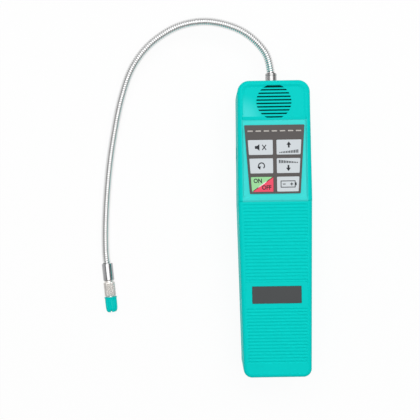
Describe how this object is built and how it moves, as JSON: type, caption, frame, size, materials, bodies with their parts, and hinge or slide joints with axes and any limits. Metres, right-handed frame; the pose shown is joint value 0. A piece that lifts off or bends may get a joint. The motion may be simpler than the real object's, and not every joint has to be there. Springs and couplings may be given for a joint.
{
  "type": "refrigerant leak detector",
  "caption": "Handheld gas leak detector: ribbed teal housing with speaker grille and keypad, and a bent metal gooseneck that ends in a capped sensor tip.",
  "frame": {"origin": "middle of the flat back that the detector lies on", "axes": "+Z out of the front face, +Y from the handle towards the probe, +X to the right as the keys are read"},
  "size_m": [0.169, 0.2851, 0.044],
  "materials": {
    "shell": "moulded, faintly satin",
    "overlay": "printed film, fine matt",
    "keys": "fine matt",
    "on_green": "fine matt",
    "off_red": "fine matt",
    "lights": "diffusing, unlit",
    "film": "matt",
    "label": "matt",
    "neck_steel": "bright plated wire turns",
    "polished_steel": "polished",
    "nickel": "knurled, dull plated",
    "cap": "gloss",
    "steel": "plain",
    "cells": "plain sleeve",
    "board": "lacquered",
    "black_plastic": "matt",
    "white_plastic": "matt",
    "core": "varnished laminations and winding",
    "can": "shrunk sleeve",
    "cone": "treated paper"
  },
  "bodies": {
    "housing": {"front_housing": "shell", "rear_housing": "shell", "keypad_overlay": "overlay", "keypad_film": "film", "label_plate": "label", "neck_ferrule": "polished_steel", "holster_cup": "black_plastic", "circuit_board": "board", "processor_chip": "black_plastic", "transformer": "core", "capacitor": "can", "cable_socket": "white_plastic", "probe_cable": "black_plastic", "speaker_basket": "black_plastic", "speaker_cone": "cone", "speaker_magnet": "steel", "lower_cell": "cells", "upper_cell": "cells", "spring_plate": "steel", "battery_spring": "steel", "nub_contact": "steel", "board_screw_1": "steel", "board_screw_2": "steel", "housing_screw_1": "steel", "housing_screw_2": "steel", "housing_screw_3": "steel", "housing_screw_4": "steel", "signal_light_1": "lights", "signal_light_2": "lights", "signal_light_3": "lights", "signal_light_4": "lights", "signal_light_5": "lights", "signal_light_6": "lights", "signal_light_7": "lights", "dome_mute": "steel", "dome_reset": "steel", "dome_power": "steel", "dome_sensitivity_up": "steel", "dome_sensitivity_down": "steel", "dome_battery_test": "steel"},
    "door": {"battery_door": "shell"},
    "probe": {"gooseneck": "neck_steel"},
    "probe_tip": {"tip_sleeve": "polished_steel"},
    "sensor": {"sensor_barrel": "nickel", "sensor_element": "nickel"},
    "protector": {"tip_protector": "cap"},
    "mute_key": {"key_mute": "keys"},
    "reset_key": {"key_reset": "keys"},
    "power_key": {"key_power": "on_green", "key_power_off": "off_red"},
    "sensitivity_up_key": {"key_sensitivity_up": "keys"},
    "sensitivity_down_key": {"key_sensitivity_down": "keys"},
    "battery_test_key": {"key_battery_test": "keys"}
  },
  "joints": [
    {"name": "door_slide", "type": "slide", "parent": "housing", "child": "door", "axis": [0, -1, 0], "range_m": [0, 0.112]},
    {"name": "neck_swing", "type": "hinge", "parent": "housing", "child": "probe", "pos_m": [-0.0046, 0.141, 0.0217], "axis": [0, 0, 1], "range_deg": [-60, 20], "deforming": ["gooseneck"]},
    {"name": "neck_lift", "type": "hinge", "parent": "probe", "child": "probe_tip", "pos_m": [-0.1126, 0.131, 0.0116], "axis": [-0.8733, 0.4872, 0], "range_deg": [0, 90], "deforming": ["gooseneck"]},
    {"name": "sensor_unscrew", "type": "hinge", "parent": "probe_tip", "child": "sensor", "pos_m": [-0.1359, -0.0274, 0.0054], "axis": [0.0889, -0.996, 0], "range_deg": [0, 720]},
    {"name": "protector_pull", "type": "slide", "parent": "sensor", "child": "protector", "axis": [0.0889, -0.996, 0], "range_m": [0, 0.014]},
    {"name": "mute_press", "type": "slide", "parent": "housing", "child": "mute_key", "axis": [0, 0, -1], "range_m": [0, 0.0004], "stiffness_N_per_m": 1200, "springref_m": -0.0005},
    {"name": "reset_press", "type": "slide", "parent": "housing", "child": "reset_key", "axis": [0, 0, -1], "range_m": [0, 0.0004], "stiffness_N_per_m": 1200, "springref_m": -0.0005},
    {"name": "power_press", "type": "slide", "parent": "housing", "child": "power_key", "axis": [0, 0, -1], "range_m": [0, 0.0004], "stiffness_N_per_m": 1200, "springref_m": -0.0005},
    {"name": "sensitivity_up_press", "type": "slide", "parent": "housing", "child": "sensitivity_up_key", "axis": [0, 0, -1], "range_m": [0, 0.0004], "stiffness_N_per_m": 1200, "springref_m": -0.0005},
    {"name": "sensitivity_down_press", "type": "slide", "parent": "housing", "child": "sensitivity_down_key", "axis": [0, 0, -1], "range_m": [0, 0.0004], "stiffness_N_per_m": 1200, "springref_m": -0.0005},
    {"name": "battery_test_press", "type": "slide", "parent": "housing", "child": "battery_test_key", "axis": [0, 0, -1], "range_m": [0, 0.0004], "stiffness_N_per_m": 1200, "springref_m": -0.0005}
  ]
}
